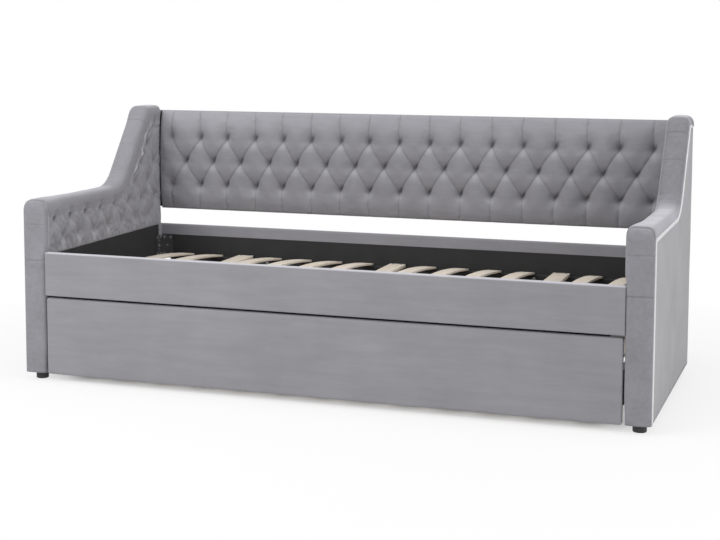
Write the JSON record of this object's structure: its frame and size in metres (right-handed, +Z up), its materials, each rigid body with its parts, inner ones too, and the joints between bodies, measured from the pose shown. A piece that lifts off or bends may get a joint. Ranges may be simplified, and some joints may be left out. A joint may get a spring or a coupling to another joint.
{
  "type": "daybed",
  "caption": "Upholstered daybed with a tufted back and sloping padded arms, a sprung slat base, and a slatted trundle on castors that slides out under the front rail.",
  "frame": {"origin": "on the floor, under the middle of the bed's bounding box with the trundle pushed in", "axes": "+X along the bed to the right as seen from the front, -Y towards the front, +Z up"},
  "size_m": [2.18, 1, 0.925],
  "materials": {
    "velvet": "grey velvet with a soft sheen",
    "lining": "matte black lining cloth",
    "board": "raw board",
    "pale_wood": "pale sanded birch and pine",
    "steel": "zinc-plated steel",
    "black_plastic": "moulded black plastic"
  },
  "bodies": {
    "bed": {"left_arm_core": "board", "right_arm_core": "board", "left_end_board": "board", "right_end_board": "board", "back_frame": "board", "front_rail_board": "board", "back_rail_board": "board", "left_arm_band": "velvet", "right_arm_band": "velvet", "left_arm_outer_cover": "velvet", "right_arm_outer_cover": "velvet", "left_arm_pad": "velvet", "right_arm_pad": "velvet", "arm_piping": "velvet", "arm_buttons": "velvet", "back_pad": "velvet", "back_buttons": "velvet", "back_cover": "velvet", "front_rail_cover": "velvet", "back_rail_cover": "velvet", "end_linings": "lining", "back_rail_lining": "lining", "sprung_slat_01": "pale_wood", "sprung_slat_02": "pale_wood", "flat_slat_03": "pale_wood", "sprung_slat_04": "pale_wood", "sprung_slat_05": "pale_wood", "sprung_slat_06": "pale_wood", "sprung_slat_07": "pale_wood", "flat_slat_08": "pale_wood", "sprung_slat_09": "pale_wood", "sprung_slat_10": "pale_wood", "sprung_slat_11": "pale_wood", "sprung_slat_12": "pale_wood", "flat_slat_13": "pale_wood", "sprung_slat_14": "pale_wood", "sprung_slat_15": "pale_wood", "front_ledger": "pale_wood", "back_ledger": "pale_wood", "back_bolts": "steel", "ledger_bolts": "steel", "rail_brackets": "steel", "bracket_screws": "steel", "slat_screws": "steel", "feet": "black_plastic"},
    "trundle": {"trundle_front_board": "board", "trundle_front_cover": "velvet", "left_trundle_side": "board", "right_trundle_side": "board", "trundle_back": "board", "trundle_ledgers": "pale_wood", "trundle_slats": "pale_wood", "castor_blocks": "pale_wood", "castor_forks": "steel", "castor_axles": "steel"},
    "left_front_wheel": {"left_front_wheel": "black_plastic"},
    "left_rear_wheel": {"left_rear_wheel": "black_plastic"},
    "right_front_wheel": {"right_front_wheel": "black_plastic"},
    "right_rear_wheel": {"right_rear_wheel": "black_plastic"}
  },
  "joints": [
    {"name": "trundle_slide", "type": "slide", "parent": "bed", "child": "trundle", "axis": [0, -1, 0], "range_m": [0, 0.95]},
    {"name": "left_front_wheel_spin", "type": "hinge", "parent": "trundle", "child": "left_front_wheel", "pos_m": [-0.962, -0.35, 0.025], "axis": [1, 0, 0], "continuous": true},
    {"name": "left_rear_wheel_spin", "type": "hinge", "parent": "trundle", "child": "left_rear_wheel", "pos_m": [-0.962, 0.2987, 0.025], "axis": [1, 0, 0], "continuous": true},
    {"name": "right_front_wheel_spin", "type": "hinge", "parent": "trundle", "child": "right_front_wheel", "pos_m": [0.962, -0.35, 0.025], "axis": [1, 0, 0], "continuous": true},
    {"name": "right_rear_wheel_spin", "type": "hinge", "parent": "trundle", "child": "right_rear_wheel", "pos_m": [0.962, 0.2987, 0.025], "axis": [1, 0, 0], "continuous": true}
  ],
  "couplings": [
    {"joint": "left_front_wheel_spin", "follows": "trundle_slide", "rad_per_m": 40},
    {"joint": "left_rear_wheel_spin", "follows": "trundle_slide", "rad_per_m": 40},
    {"joint": "right_front_wheel_spin", "follows": "trundle_slide", "rad_per_m": 40},
    {"joint": "right_rear_wheel_spin", "follows": "trundle_slide", "rad_per_m": 40}
  ]
}
